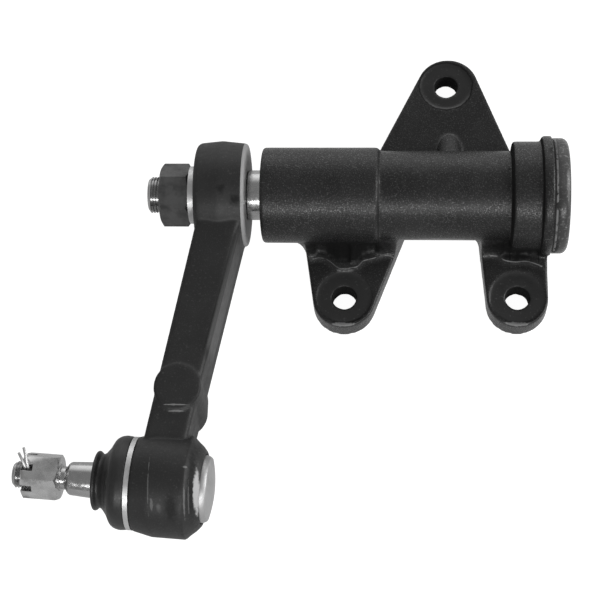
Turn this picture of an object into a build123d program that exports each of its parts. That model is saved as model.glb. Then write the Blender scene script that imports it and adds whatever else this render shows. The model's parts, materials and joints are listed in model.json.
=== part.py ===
from build123d import *
import math
import os

# Steering idler arm. A cast bracket bolts to the frame rail, a pivot shaft turns in its two bushes,
# and a forged arm on the shaft ends in a ball joint.
# The part lies on the bracket's mounting face at Z = 0. The pivot axis runs along X above Y = 0,
# X = 0 is in line with the middle of the upper ear, and the arm reaches towards -Y.
os.makedirs("parts", exist_ok=True)

# Clearances
running_gap = 0.03
end_gap = 0.2
soft_gap = 0.3
floor_gap = 0.1
washer_gap = 0.1
barrel_gap = 0.01
pin_leg_gap = 0.04
overrun = 1.0

# Bracket casting
pivot_height = 33.5
plate_thickness = 13.5
bolt_hole_diameter = 13.0
upper_hole_x = -1.0
upper_hole_y = 78.4
left_hole_y = -51.5
right_hole_y = -51.0
left_hole_from_front = 44.6
right_hole_from_end = 17.4
upper_ear_radius = 17.4
upper_foot_from_front = 45.0
upper_foot_from_end = 5.2
left_ear_radius = 17.2
left_foot_left = -25.6
left_foot_right = 37.0
right_ear_radius = 16.7
right_foot_left = -21.8
right_foot_right = 16.2
spot_face_diameter = 30.8
upper_spot_face_diameter = 29.8
spot_face_depth = 1.0
front_tube_diameter = 52.0
middle_tube_diameter = 48.4
collar_diameter = 58.6
rim_diameter = 64.6
front_tube_length = 63.2
middle_tube_length = 71.3
collar_length = 15.7
rim_length = 5.6
relief_width = 1.8
relief_depth = 0.8
strip_setback = 6.0
strip_past_rim = 1.5
strip_left_y = -12.8
strip_gap_y = -10.4
strip_corner = 4.5
left_leg_fillet = 11.0
left_gap_fillet = 3.5
right_gap_fillet = 6.0
upper_foot_fillet = 8.0
web_toe_height = 1.6
web_recess = 2.4
web_crest_y = -23.2
web_crest_z = 31.5
web_back_y = -8.0
toe_bead_diameter = 1.7
toe_bead_rise = 0.3
cast_round = 1.6
plate_round = 1.0
rim_round = 0.5
nib_angle = 65.0
nib_radius = 1.4
nib_width = 1.6
nib_inset = 0.2
bracket_front_x = -101.0

# Toe lines of the two webs on the legs, and spans of the ribs above them, counted from each bolt hole
left_toe = [
    (-27.0, -29.8),
    (-18.0, -29.3),
    (-13.6, -28.8),
    (-9.3, -30.1),
    (-3.6, -34.6),
    (1.1, -34.9),
    (6.6, -33.9),
    (10.2, -30.4),
    (15.5, -28.9),
    (21.6, -26.9),
    (31.0, -30.0),
]
right_toe = [
    (-24.0, -28.6),
    (-15.3, -26.8),
    (-10.2, -27.4),
    (-6.6, -29.6),
    (-1.5, -30.6),
    (5.1, -30.2),
    (10.4, -31.8),
    (18.0, -34.6),
]
left_rib_spans = [(-27.0, -16.5), (3.2, 6.2), (17.4, 31.0)]
right_rib_spans = [(-24.0, -8.0)]

# How far the web walls have drawn in from toe to crest at some shares of their height
web_hollow = [(0.0, 0.0), (0.2, 0.38), (0.5, 0.72), (1.0, 1.0)]

# Round rib between the tube and the upper ear
ridge_x = 0.8
ridge_radius = 6.8
ridge_foot_y = 42.0
ridge_head_y = 17.4
ridge_foot_z = 9.5
ridge_head_z = 26.5

# Bushes, seal, washers and the shaft
shaft_diameter = 27.2
rear_journal_diameter = 24.0
stem_thread_diameter = 20.0
front_bush_wall = 3.4
rear_bush_wall = 3.0
front_bush_length = 30.0
rear_bush_length = 33.0
bush_flange_diameter = 40.0
bush_flange_thickness = 2.5
bush_setback = 1.0
seal_width = 6.0
seal_diameter = 40.0
seal_setback = 0.6
seal_wall = 2.4
seal_lip_flare = 1.2
thrust_washer_thickness = 3.0
rear_nut_flats = 30.0
rear_nut_height = 12.0
rear_nut_slot_depth = 4.0
rear_nut_slot_width = 4.2
rear_nut_turn = 0.0
rear_pin_wire = 1.7
rear_pin_reach = 3.0
rear_pin_hole = 4.2
tail_past_nut = 1.6
cap_chamber_diameter = 46.0
cap_chamber_setback = 4.5
nut_chamfer = 1.2
boss_gap = 8.2

# End cap on the bracket's far end
cap_diameter = 62.2
cap_width = 7.7
cap_wall = 1.7
cap_spigot_length = 4.5
cap_edge_round = 3.6
gasket_thickness = 0.7
gasket_inset = 0.6

# Forged arm
boss_width = 27.4
boss_diameter = 59.0
boss_draft = 1.4
boss_round = 3.2
boss_face_round = 1.4
arm_centres = 162.3
ball_setback = 22.7
beam_top_width = 23.8
beam_foot_width = 22.4
beam_top_depth = 37.0
beam_foot_depth = 31.5
beam_top_y = -15.0
beam_foot_gap = 12.0
beam_edge_round = 2.6
beam_top_shift = 1.1
beam_foot_shift = -1.2
stop_diameter = 24.6
stop_from_pivot = 113.4
stop_rise = 1.4
stop_front_reach = 0.4
stop_rear_reach = 6.4
stop_edge = 0.7
boss_bore_large = 25.4
boss_bore_small = 21.4
taper_root_length = 0.3
stem_shoulder_depth = 1.2
stem_point_length = 1.8
stem_point_depth = 1.6
arm_nut_flats = 30.0
arm_nut_height = 15.7
arm_nut_turn = 18.0
spring_washer_thickness = 4.2
spring_washer_diameter = 31.4
spring_washer_gap = 0.6
spring_washer_split = 2.4
spring_washer_split_turn = 118.0
spring_washer_split_slant = 24.0
stem_end_past_nut = 7.2

# Ball joint, measured along the stud from the ball's centre
stud_lean = 3.7
ball_diameter = 29.0
neck_diameter = 17.0
socket_diameter = 53.2
socket_bore = 39.0
socket_wall_nose = 3.2
socket_face = 15.2
socket_full_from = 4.7
socket_full_to = -12.9
socket_end = -20.4
socket_end_chamfer = 2.4
socket_end_round = 4.6
socket_lip = 7.4
spigot_diameter = 42.0
spigot_length = 4.6
spigot_wall = 2.4
socket_edge_round = 1.0
crimp_round = 1.8
mouth_inner = 28.0
seat_shoulder = 6.0
crimp_thickness = 1.2
crimp_opening = 35.0
closing_plate_thickness = 1.3
closing_dome_height = 4.8
closing_dome_edge = 5.5
closing_crown_radius = 62.0
preload_thickness = 2.0
preload_inset = 0.8
preload_width = 8.2
boot_ring_width = 2.5
boot_ring_thickness = 3.1
boot_diameter = 48.8
boot_wall = 2.4
boot_edge_drop = 0.5
boot_crest_from = 2.0
boot_crest_to = 4.6
boot_crest_drop = 0.8
boot_shoulder_length = 3.0
boot_shoulder_drop = 1.2
boot_throat_length = 7.0
boot_throat_rise = 4.0
boot_neck_length = 4.6
boot_neck_rise = 4.4
boot_grip_length = 3.0
boot_waist_diameter = 27.2
boot_lip_diameter = 31.0
boot_waist_at = 33.4
boot_lip_at = 36.4
boot_lip_width = 1.3
boot_lip_wall = 2.0
boot_mouth_length = 0.4
boot_mouth_drop = 0.2
boot_lip_round = 0.5
boot_waist_round = 1.2
boot_bulge_round = 3.0
boot_crest_round = 2.0
neck_ring_wall = 1.6
neck_ring_width = 2.4
neck_ring_setback = 0.4
taper_large_diameter = 19.6
taper_start = 31.0
taper_end = 50.6
taper_ratio = 8.0
taper_run_in = 2.4
taper_end_length = 1.2
taper_end_drop = 0.7
stud_thread_diameter = 14.0
stud_thread_lead = 0.6
stud_point_length = 1.6
stud_point_depth = 1.8
stud_undercut = 1.0
stud_undercut_width = 2.6
stud_end = 79.9
castle_nut_flats = 22.0
castle_nut_height = 19.0
castle_nut_start = 55.0
castle_crown_depth = 6.0
castle_slot_width = 3.6
castle_nut_turn = 9.0
pin_short_leg = 0.72
pin_inner_lean = 0.6
cotter_wire = 1.5
cotter_reach = 9.0
cotter_spread = 3.0
cotter_drop = 7.0
cotter_hole = 3.5
ball_gap = 0.08
seat_split = 0.3

# Places along the pivot axis, worked out from the sizes above
step_x = bracket_front_x + front_tube_length
collar_x = step_x + middle_tube_length
rim_x = collar_x + collar_length
bracket_end_x = rim_x + rim_length
cap_x = bracket_end_x + gasket_thickness
left_hole_x = bracket_front_x + left_hole_from_front
right_hole_x = bracket_end_x - right_hole_from_end
upper_foot_left = bracket_front_x + upper_foot_from_front
upper_foot_right = bracket_end_x - upper_foot_from_end
strip_left_x = bracket_front_x + strip_setback
strip_right_x = rim_x + strip_past_rim
boss_right_x = bracket_front_x - boss_gap
boss_left_x = boss_right_x - boss_width
boss_x = (boss_right_x + boss_left_x) / 2
ball_x = boss_x - ball_setback
spring_washer_x = boss_left_x - spring_washer_thickness
arm_nut_x = spring_washer_x - arm_nut_height
stem_end_x = arm_nut_x - stem_end_past_nut
front_bore_radius = shaft_diameter / 2 + running_gap + front_bush_wall
rear_bore_radius = rear_journal_diameter / 2 + running_gap + rear_bush_wall
chamber_floor_x = collar_x + cap_chamber_setback
rear_step_x = chamber_floor_x - rear_bush_length
bush_flange_x = chamber_floor_x + bush_flange_thickness
shaft_shoulder_x = bush_flange_x + end_gap
rear_nut_x = shaft_shoulder_x + thrust_washer_thickness
shaft_tail_x = rear_nut_x + rear_nut_height + tail_past_nut
seal_end_x = bracket_front_x + seal_width

# The arm droops until its socket rests on the same plane as the mounting face
arm_droop = math.degrees(math.asin((pivot_height - socket_diameter / 2 - floor_gap) / arm_centres))
arm_frame = Pos(0, 0, pivot_height) * Rot(X=arm_droop)
stud_direction = Vector(-1, 0, 0).rotate(Axis.Z, -stud_lean)
joint_plane = Plane(origin=(ball_x, -arm_centres, 0), x_dir=stud_direction, z_dir=(0, 0, 1))
joint_frame = arm_frame * joint_plane.location


def turned(points, rounds=None):
    """A solid turned about X from (x, radius) points; rounds gives some points a corner radius."""
    radii = [(rounds or {}).get(i, 0) for i in range(len(points))]
    outline = FilletPolyline(*[(x, 0, r) for x, r in points], radius=radii, close=True)
    return revolve(make_face(outline), Axis.X)


def sleeve(x_from, x_to, outer_radius, inner_radius):
    """A plain ring about X."""
    return turned(
        [(x_from, inner_radius), (x_to, inner_radius), (x_to, outer_radius), (x_from, outer_radius)]
    )


def rod(x_from, x_to, radius):
    """A plain cylinder about X."""
    return turned([(x_from, 0), (x_to, 0), (x_to, radius), (x_from, radius)])


def hex_blank(x_from, x_to, across_flats, turn, chamfer_from, chamfer_to):
    """A hexagonal bar about X, its corners turned off at the ends that have a chamfer."""
    corner = across_flats / math.sqrt(3)
    bar = extrude(Plane.YZ * Rot(Z=turn) * RegularPolygon(corner, 6), x_to - x_from)
    flat = across_flats / 2
    barrel = turned(
        [
            (x_from, 0),
            (x_to, 0),
            (x_to, corner if not chamfer_to else flat),
            (x_to - chamfer_to, corner + barrel_gap),
            (x_from + chamfer_from, corner + barrel_gap),
            (x_from, corner if not chamfer_from else flat),
        ]
    )
    return Pos(x_from, 0, 0) * bar & barrel


def slots(x_from, x_to, reach, width, turn):
    """Three bars across a castle nut's crown, one for each pair of opposite flats."""
    bar = Pos((x_from + x_to) / 2, 0, 0) * Box(x_to - x_from, 2 * reach, width)
    return [Rot(X=turn + 30 + 60 * i) * bar for i in range(3)]


def castle_nut(x_from, x_to, flats, bore, crown, slot_width, turn):
    """A slotted nut whose crown points towards x_to."""
    nut = hex_blank(x_from, x_to, flats, turn, nut_chamfer, nut_chamfer)
    nut -= rod(x_from - overrun, x_to + overrun, bore / 2)
    for cut in slots(x_to - crown, x_to + overrun, flats, slot_width, turn):
        nut -= cut
    return nut


def split_pin(shank, reach, wire, spread, drop):
    """A split pin along Z: an eye under the shank, two legs that spread to +X and drop to -Y."""
    offset = wire / 2
    eye = wire * 1.2
    neck = -shank / 2 - wire
    tip = shank / 2 + reach
    bend = shank / 2
    path = FilletPolyline(
        (offset + spread, -drop * pin_short_leg, bend + reach * pin_short_leg),
        (offset, 0, bend),
        (offset, 0, neck),
        (offset + eye, 0, neck - eye),
        (0, 0, neck - 2.4 * eye),
        (-offset - eye, 0, neck - eye),
        (-offset, 0, neck),
        (-offset, 0, bend),
        (spread * pin_inner_lean - offset, -drop, tip),
        radius=[wire, wire, wire, wire * 1.2, wire, wire, wire],
    )
    section = Plane(origin=path @ 0, z_dir=path % 0) * Circle((wire - pin_leg_gap) / 2)
    return sweep(section, path)


# Bracket plate: three ears joined by a triangular plate that runs under the tube
def ear(x, y, radius, foot_left, foot_right):
    """An ear's outline: its round end and two straight sides down to a foot line under the tube."""
    foot = Line((foot_left, 0), (foot_right, 0))
    return make_hull([*(Pos(x, y) * Circle(radius)).edges(), foot])


def patch(x_from, x_to, y_from, y_to):
    """A rectangle between two corners."""
    return Pos((x_from + x_to) / 2, (y_from + y_to) / 2) * Rectangle(x_to - x_from, y_to - y_from)


def box(x_from, x_to, y_from, y_to, z_from, z_to):
    """A box between two corners."""
    return Pos(0, 0, z_from) * extrude(patch(x_from, x_to, y_from, y_to), z_to - z_from)


def fillet_at(face, spots):
    """Fillets a face's corners, each named by its place and given its own radius."""
    for x, y, radius in spots:
        corner = min(face.vertices(), key=lambda v: math.hypot(v.X - x, v.Y - y))
        face = fillet([corner], radius)
    return face


left_leg_from = left_hole_x + left_foot_left
left_leg_to = left_hole_x + left_foot_right
right_leg_from = right_hole_x + right_foot_left
right_leg_to = right_hole_x + right_foot_right
upper_ear = ear(0, upper_hole_y, upper_ear_radius, upper_foot_left, upper_foot_right)
left_leg = ear(left_hole_x, left_hole_y, left_ear_radius, left_leg_from, left_leg_to)
right_leg = ear(right_hole_x, right_hole_y, right_ear_radius, right_leg_from, right_leg_to)
strip = patch(strip_left_x, left_hole_x, strip_left_y, 0) + patch(left_hole_x, strip_right_x, strip_gap_y, 0)
plan = fillet_at(
    upper_ear + left_leg + right_leg + strip,
    [
        (left_leg_from, strip_left_y, left_leg_fillet),
        (left_leg_to, strip_gap_y, left_gap_fillet),
        (right_leg_from, strip_gap_y, right_gap_fillet),
        (upper_foot_left, 0, upper_foot_fillet),
        (strip_left_x, 0, strip_corner),
        (strip_left_x, strip_left_y, strip_corner),
    ],
)
plate = extrude(plan, plate_thickness)
plate = fillet(plate.faces().sort_by(Axis.Z)[-1].edges(), plate_round)
plate_block = extrude(plan, pivot_height)

# Webs between the tube and the two legs: a hollow wall on a wavy toe, with ribs and a bead at its foot
toe_top = plate_thickness + web_toe_height


def wall_section(toe_points, rise, draw):
    """One level of a web wall, drawn in from the toe line towards the crest."""
    points = [(x, y + (web_crest_y - y) * draw) for x, y in toe_points]
    sides = Polyline(points[-1], (points[-1][0], web_back_y), (points[0][0], web_back_y), points[0])
    level = plate_thickness + (web_crest_z - plate_thickness) * rise
    return Pos(0, 0, level) * make_face([*Spline(*points).edges(), *sides.edges()])


def leg_web(hole_x, toe, rib_spans):
    """One leg's web, before it is trimmed to the plate's outline."""
    toe_points = [(hole_x + x, y) for x, y in toe]
    wall = loft([wall_section(toe_points, rise, draw) for rise, draw in web_hollow])
    wall += extrude(wall_section(toe_points, 0, 0), -overrun)
    toe_from = toe_points[0][0]
    toe_to = toe_points[-1][0]
    web = wall & box(toe_from, toe_to, -2 * pivot_height, 0, 0, toe_top)
    web += Pos(0, web_recess, 0) * wall
    for rib_from, rib_to in rib_spans:
        web += wall & box(hole_x + rib_from, hole_x + rib_to, -2 * pivot_height, 0, 0, pivot_height)
    line = Pos(0, 0, plate_thickness + toe_bead_rise) * Spline(*toe_points)
    return web + sweep(Plane(origin=line @ 0, z_dir=line % 0) * Circle(toe_bead_diameter / 2), line)


webs = leg_web(left_hole_x, left_toe, left_rib_spans) + leg_web(right_hole_x, right_toe, right_rib_spans)
webs &= plate_block

# Round rib between the tube and the upper ear
ridge_foot = Vector(ridge_x, ridge_foot_y, ridge_foot_z)
ridge_line = Vector(ridge_x, ridge_head_y, ridge_head_z) - ridge_foot
ridge = Plane(origin=ridge_foot, z_dir=ridge_line) * Cylinder(
    ridge_radius, ridge_line.length, align=(Align.CENTER, Align.CENTER, Align.MIN)
)
ridge += Pos(*ridge_foot) * Sphere(ridge_radius)

# The tube, its collar and its rim are turned in one profile
front_r = front_tube_diameter / 2
middle_r = middle_tube_diameter / 2
collar_r = collar_diameter / 2
rim_r = rim_diameter / 2
tube_profile = [
    (bracket_front_x, 0),
    (bracket_end_x, 0),
    (bracket_end_x, rim_r),
    (rim_x, rim_r),
    (rim_x, collar_r),
    (collar_x, collar_r),
    (collar_x, middle_r - relief_depth),
    (collar_x - relief_width, middle_r - relief_depth),
    (collar_x - relief_width, middle_r),
    (step_x, middle_r),
    (step_x, front_r),
    (bracket_front_x, front_r),
]
tube = turned(tube_profile, {2: rim_round, 3: cast_round, 5: cast_round, 10: cast_round, 11: cast_round})
nib_end_x = bracket_end_x - nib_inset
nib = Rot(X=nib_angle - 90) * (Pos(0, 0, rim_r) * rod(nib_end_x - nib_width, nib_end_x, nib_radius))

bores = rod(bracket_front_x - overrun, rear_step_x, front_bore_radius)
bores += rod(bracket_front_x - overrun, seal_end_x, seal_diameter / 2)
bores += rod(rear_step_x - overrun, chamber_floor_x + overrun, rear_bore_radius)
bores += rod(chamber_floor_x, bracket_end_x + overrun, cap_chamber_diameter / 2)

housing = plate + webs + ridge + Pos(0, 0, pivot_height) * (tube + nib)
housing -= Pos(0, 0, pivot_height) * bores
bolt_holes = [
    (upper_hole_x, upper_hole_y, upper_spot_face_diameter),
    (left_hole_x, left_hole_y, spot_face_diameter),
    (right_hole_x, right_hole_y, spot_face_diameter),
]
for hole_x, hole_y, spot_face in bolt_holes:
    bolt_hole = Cylinder(bolt_hole_diameter / 2, plate_thickness * 2)
    housing -= Pos(hole_x, hole_y, plate_thickness / 2) * bolt_hole
    housing -= Pos(hole_x, hole_y, plate_thickness - spot_face_depth) * Cylinder(
        spot_face / 2, pivot_height, align=(Align.CENTER, Align.CENTER, Align.MIN)
    )

# Bushes, seal, inner thrust washer, gasket and end cap
front_bush_x = seal_end_x + bush_setback
front_bush = sleeve(
    front_bush_x, front_bush_x + front_bush_length, front_bore_radius, shaft_diameter / 2 + running_gap
)
rear_inner = rear_journal_diameter / 2 + running_gap
rear_bush = turned(
    [
        (rear_step_x, rear_inner),
        (bush_flange_x, rear_inner),
        (bush_flange_x, bush_flange_diameter / 2),
        (chamber_floor_x, bush_flange_diameter / 2),
        (chamber_floor_x, rear_bore_radius),
        (rear_step_x, rear_bore_radius),
    ]
)
inner_thrust_washer = sleeve(
    rear_step_x - bush_flange_thickness, rear_step_x, front_bore_radius - end_gap, rear_inner + end_gap
)
seal_lip = shaft_diameter / 2 + soft_gap
dust_seal = turned(
    [
        (bracket_front_x + seal_setback, seal_lip),
        (seal_end_x - seal_wall, seal_lip + seal_lip_flare),
        (seal_end_x - seal_wall, seal_diameter / 2 - seal_wall),
        (seal_end_x, seal_diameter / 2 - seal_wall),
        (seal_end_x, seal_diameter / 2),
        (bracket_front_x + seal_setback, seal_diameter / 2),
    ]
)
gasket_radius = cap_diameter / 2 - gasket_inset
cap_gasket = sleeve(bracket_end_x, cap_x, gasket_radius, cap_chamber_diameter / 2)
cap_end_x = cap_x + cap_width
end_cap = turned(
    [
        (bracket_end_x - cap_spigot_length, cap_chamber_diameter / 2 - cap_wall),
        (cap_end_x - cap_wall, cap_chamber_diameter / 2 - cap_wall),
        (cap_end_x - cap_wall, 0),
        (cap_end_x, 0),
        (cap_end_x, cap_diameter / 2),
        (cap_x, cap_diameter / 2),
        (cap_x, cap_chamber_diameter / 2),
        (bracket_end_x - cap_spigot_length, cap_chamber_diameter / 2),
    ],
    {4: cap_edge_round},
)

# Pivot shaft: taper in the arm's boss, two journals and a threaded tail
taper_root_x = boss_right_x + taper_root_length
shaft_step_x = rear_step_x - bush_flange_thickness - end_gap
stem_r = stem_thread_diameter / 2
pivot_shaft = turned(
    [
        (stem_end_x, 0),
        (shaft_tail_x, 0),
        (shaft_tail_x, stem_r),
        (shaft_shoulder_x, stem_r),
        (shaft_shoulder_x, rear_journal_diameter / 2),
        (shaft_step_x, rear_journal_diameter / 2),
        (shaft_step_x, shaft_diameter / 2),
        (taper_root_x, shaft_diameter / 2),
        (boss_right_x, boss_bore_large / 2),
        (boss_left_x + stem_shoulder_depth, boss_bore_small / 2),
        (boss_left_x + stem_shoulder_depth, stem_r),
        (stem_end_x + stem_point_length, stem_r),
        (stem_end_x, stem_r - stem_point_depth),
    ]
)
rear_pin_x = rear_nut_x + rear_nut_height - rear_nut_slot_depth / 2
pivot_shaft -= Pos(rear_pin_x, 0, 0) * Cylinder(rear_pin_hole / 2, shaft_diameter)
outer_thrust_washer = sleeve(shaft_shoulder_x, rear_nut_x, bush_flange_diameter / 2, stem_r + washer_gap)
shaft_nut = castle_nut(
    rear_nut_x,
    rear_nut_x + rear_nut_height,
    rear_nut_flats,
    stem_thread_diameter,
    rear_nut_slot_depth,
    rear_nut_slot_width,
    rear_nut_turn,
)
rear_pin_shank = rear_nut_flats - 2 * rear_pin_wire
shaft_split_pin = split_pin(rear_pin_shank, rear_pin_reach, rear_pin_wire, rear_pin_wire, 0)
shaft_split_pin = Pos(rear_pin_x, 0, 0) * shaft_split_pin
arm_nut = hex_blank(arm_nut_x, spring_washer_x, arm_nut_flats, arm_nut_turn, nut_chamfer, nut_chamfer)
arm_nut -= rod(arm_nut_x - overrun, spring_washer_x + overrun, stem_r)
spring_washer = sleeve(spring_washer_x, boss_left_x, spring_washer_diameter / 2, stem_r + spring_washer_gap)
split_bar = Box(spring_washer_thickness * 3, spring_washer_split, spring_washer_diameter)
split_turn = Rot(X=spring_washer_split_turn, Z=spring_washer_split_slant)
split_cut = split_turn * (Pos(0, 0, spring_washer_diameter / 2) * split_bar)
spring_washer -= Pos(spring_washer_x + spring_washer_thickness / 2, 0, 0) * split_cut

# Arm forging: boss, leaning beam, steering stop and ball socket
boss_r = boss_diameter / 2
boss = turned(
    [
        (boss_left_x, 0),
        (boss_right_x, 0),
        (boss_right_x, boss_r - boss_draft),
        (boss_x, boss_r),
        (boss_left_x, boss_r - boss_draft),
    ],
    {2: boss_face_round, 4: boss_round},
)
beam_top = Vector(boss_x + beam_top_shift, beam_top_y, 0)
beam_foot = Vector(ball_x + beam_foot_shift, beam_foot_gap - arm_centres, 0)
beam_line = beam_foot - beam_top


def beam_section(centre, width, depth):
    """The beam's cross-section, square to the ground line of the arm."""
    section = RectangleRounded(width, depth, beam_edge_round)
    return Plane(origin=centre, x_dir=(1, 0, 0), z_dir=(0, -1, 0)) * section


beam = loft(
    [
        beam_section(beam_top, beam_top_width, beam_top_depth),
        beam_section(beam_foot, beam_foot_width, beam_foot_depth),
    ]
)

# Steering stop: a round face in front, drawn out towards the joint at the rear
stop_share = (stop_from_pivot + beam_top.Y) / abs(beam_line.Y)
stop_centre = beam_top + beam_line * stop_share
stop_half = beam_top_depth / 2 + (beam_foot_depth - beam_top_depth) / 2 * stop_share + stop_rise


def stop_section(height, reach):
    """The stop's outline at one height: a circle drawn out towards the joint."""
    circle = Circle(stop_diameter / 2)
    return Pos(0, 0, height) * make_hull([*circle.edges(), *(Pos(0, -reach) * circle).edges()])


stop_rear = stop_section(-stop_half, stop_rear_reach)
stop_front = stop_section(stop_half, stop_front_reach)
stop_lug = loft([stop_rear, stop_front], ruled=True)
stop_ends = stop_lug.faces().sort_by(Axis.Z)
stop_lug = chamfer([*stop_ends[0].edges(), *stop_ends[-1].edges()], stop_edge)
stop_lug = Pos(stop_centre.X, stop_centre.Y, 0) * stop_lug

socket_r = socket_diameter / 2
spigot_end = socket_face + spigot_length
mouth_end_radius = spigot_diameter / 2 - spigot_wall
socket_shell = turned(
    [
        (socket_end, 0),
        (spigot_end, 0),
        (spigot_end, spigot_diameter / 2),
        (socket_face, spigot_diameter / 2),
        (socket_face, spigot_diameter / 2 + socket_wall_nose),
        (socket_full_from, socket_r),
        (socket_full_to, socket_r),
        (socket_full_to - socket_end_chamfer, socket_r - socket_end_chamfer),
        (socket_end + socket_end_chamfer, socket_r - socket_end_round),
        (socket_end, socket_r - socket_lip),
    ],
    {7: socket_edge_round, 8: crimp_round},
)
closing_plate_at = socket_end + crimp_thickness
socket_cavity = turned(
    [
        (socket_end - overrun, 0),
        (spigot_end + overrun, 0),
        (spigot_end + overrun, mouth_end_radius),
        (seat_shoulder, mouth_inner / 2),
        (seat_shoulder, socket_bore / 2),
        (closing_plate_at, socket_bore / 2),
        (closing_plate_at, crimp_opening / 2),
        (socket_end - overrun, crimp_opening / 2),
    ]
)
arm_bore = turned(
    [
        (boss_left_x - overrun, 0),
        (boss_right_x + overrun, 0),
        (boss_right_x + overrun, boss_bore_large / 2),
        (boss_right_x, boss_bore_large / 2),
        (boss_left_x + stem_shoulder_depth, boss_bore_small / 2),
        (boss_left_x - overrun, boss_bore_small / 2),
    ]
)
idler_arm = boss + beam + stop_lug + joint_plane.location * socket_shell
idler_arm = idler_arm - arm_bore - joint_plane.location * socket_cavity

# Ball joint internals
ball_r = ball_diameter / 2
seat_r = ball_r + ball_gap
seat_outer = socket_bore / 2
preload_at = closing_plate_at + closing_plate_thickness
seat_base = preload_at + preload_thickness


def seat(x_from, x_to, rest):
    """A turned seat whose hollow follows the ball between two stations; rest closes its outline."""
    middle = (x_from + x_to) / 2
    start, halfway, stop = [
        (x, 0, math.sqrt(max(seat_r**2 - x**2, 0))) for x in (x_from, middle, x_to)
    ]
    hollow = ThreePointArc(start, halfway, stop)
    outside = Polyline(stop, *[(x, 0, r) for x, r in rest], start)
    return revolve(make_face([*hollow.edges(), *outside.edges()]), Axis.X)


seat_lip = seat_split / 2
ball_seat = seat(seat_lip, seat_shoulder, [(seat_shoulder, seat_outer), (seat_lip, seat_outer)])
pressure_seat = seat(-seat_lip, -seat_r, [(seat_base, 0), (seat_base, seat_outer), (-seat_lip, seat_outer)])
preload_outer = seat_outer - preload_inset
preload_spring = sleeve(preload_at, seat_base, preload_outer, preload_outer - preload_width)
dome_r = crimp_opening / 2 - running_gap
dome_top = closing_plate_at - closing_dome_height - crimp_thickness


def crown(x_from, x_to, radius, edge, crown_radius):
    """A shallow domed cup about X, open towards x_to."""
    cup = turned([(x_from, 0), (x_to, 0), (x_to, radius), (x_from, radius)], {3: edge})
    return cup & Pos(x_from + crown_radius, 0, 0) * Sphere(crown_radius)


wall = closing_plate_thickness
socket_cap = rod(closing_plate_at, preload_at, seat_outer)
socket_cap += crown(dome_top, closing_plate_at, dome_r, closing_dome_edge, closing_crown_radius)
socket_cap -= crown(
    dome_top + wall, preload_at, dome_r - wall, closing_dome_edge - wall, closing_crown_radius - wall
)

# Boot, its steel ring on the socket's nose and the ring in its lip
boot_ring_end = socket_face + boot_ring_width
boot_ring_r = spigot_diameter / 2 + boot_ring_thickness
boot_ring = sleeve(socket_face, boot_ring_end, boot_ring_r, spigot_diameter / 2)
boot_r = boot_diameter / 2
waist_r = boot_waist_diameter / 2
lip_r = boot_lip_diameter / 2
neck_ring_from = boot_lip_at - neck_ring_width - neck_ring_setback


def taper_radius(at):
    """The stud's radius at a place along it."""
    return taper_large_diameter / 2 - (at - taper_start) / (2 * taper_ratio)


neck_ring_inner = taper_radius(neck_ring_from) + washer_gap
neck_ring_outer = neck_ring_inner + neck_ring_wall
boot_neck_ring = sleeve(neck_ring_from, neck_ring_from + neck_ring_width, neck_ring_outer, neck_ring_inner)
boot_grip = neck_ring_outer + soft_gap
dust_boot = turned(
    [
        (boot_ring_end, spigot_diameter / 2),
        (spigot_end, spigot_diameter / 2),
        (spigot_end + boot_mouth_length, spigot_diameter / 2 - boot_mouth_drop),
        (spigot_end + boot_shoulder_length, boot_r - boot_wall - boot_shoulder_drop),
        (boot_waist_at - boot_throat_length, waist_r + boot_throat_rise),
        (boot_waist_at - boot_grip_length, boot_grip),
        (boot_lip_at - boot_mouth_drop, boot_grip),
        (boot_lip_at + boot_mouth_drop, lip_r - boot_lip_wall),
        (boot_lip_at, lip_r),
        (boot_lip_at - boot_lip_width, lip_r),
        (boot_waist_at, waist_r),
        (boot_waist_at - boot_neck_length, waist_r + boot_neck_rise),
        (spigot_end + boot_crest_to, boot_r - boot_crest_drop),
        (spigot_end + boot_crest_from, boot_r),
        (boot_ring_end, boot_r - boot_edge_drop),
    ],
    {
        8: boot_lip_round,
        9: boot_lip_round,
        10: boot_waist_round,
        11: boot_bulge_round,
        12: boot_bulge_round,
        13: boot_crest_round,
    },
)

# Ball stud, castle nut and split pin
stud_r = stud_thread_diameter / 2
thread_start = castle_nut_start - stud_thread_lead
taper_edge = taper_end - taper_end_length
stud_body = turned(
    [
        (0, 0),
        (stud_end, 0),
        (stud_end, stud_r - stud_point_depth),
        (stud_end - stud_point_length, stud_r),
        (thread_start, stud_r),
        (thread_start, stud_r - stud_undercut),
        (thread_start - stud_undercut_width, stud_r - stud_undercut),
        (taper_end, taper_radius(taper_end) - taper_end_drop),
        (taper_edge, taper_radius(taper_edge)),
        (taper_start, taper_radius(taper_start)),
        (taper_start - taper_run_in, neck_diameter / 2),
        (0, neck_diameter / 2),
    ]
)
stud_pin_at = castle_nut_start + castle_nut_height - castle_crown_depth / 2
stud_pin_turn = castle_nut_turn
ball_stud = Sphere(ball_r) + stud_body
stud_pin_hole = Pos(stud_pin_at, 0, 0) * Cylinder(cotter_hole / 2, stud_thread_diameter * 2)
ball_stud -= Rot(X=stud_pin_turn) * stud_pin_hole
castle = castle_nut(
    castle_nut_start,
    castle_nut_start + castle_nut_height,
    castle_nut_flats,
    stud_thread_diameter,
    castle_crown_depth,
    castle_slot_width,
    castle_nut_turn,
)
cotter_pin = split_pin(castle_nut_flats, cotter_reach, cotter_wire, cotter_spread, cotter_drop)
cotter_pin = Rot(X=stud_pin_turn) * (Pos(stud_pin_at, 0, 0) * cotter_pin)

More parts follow.
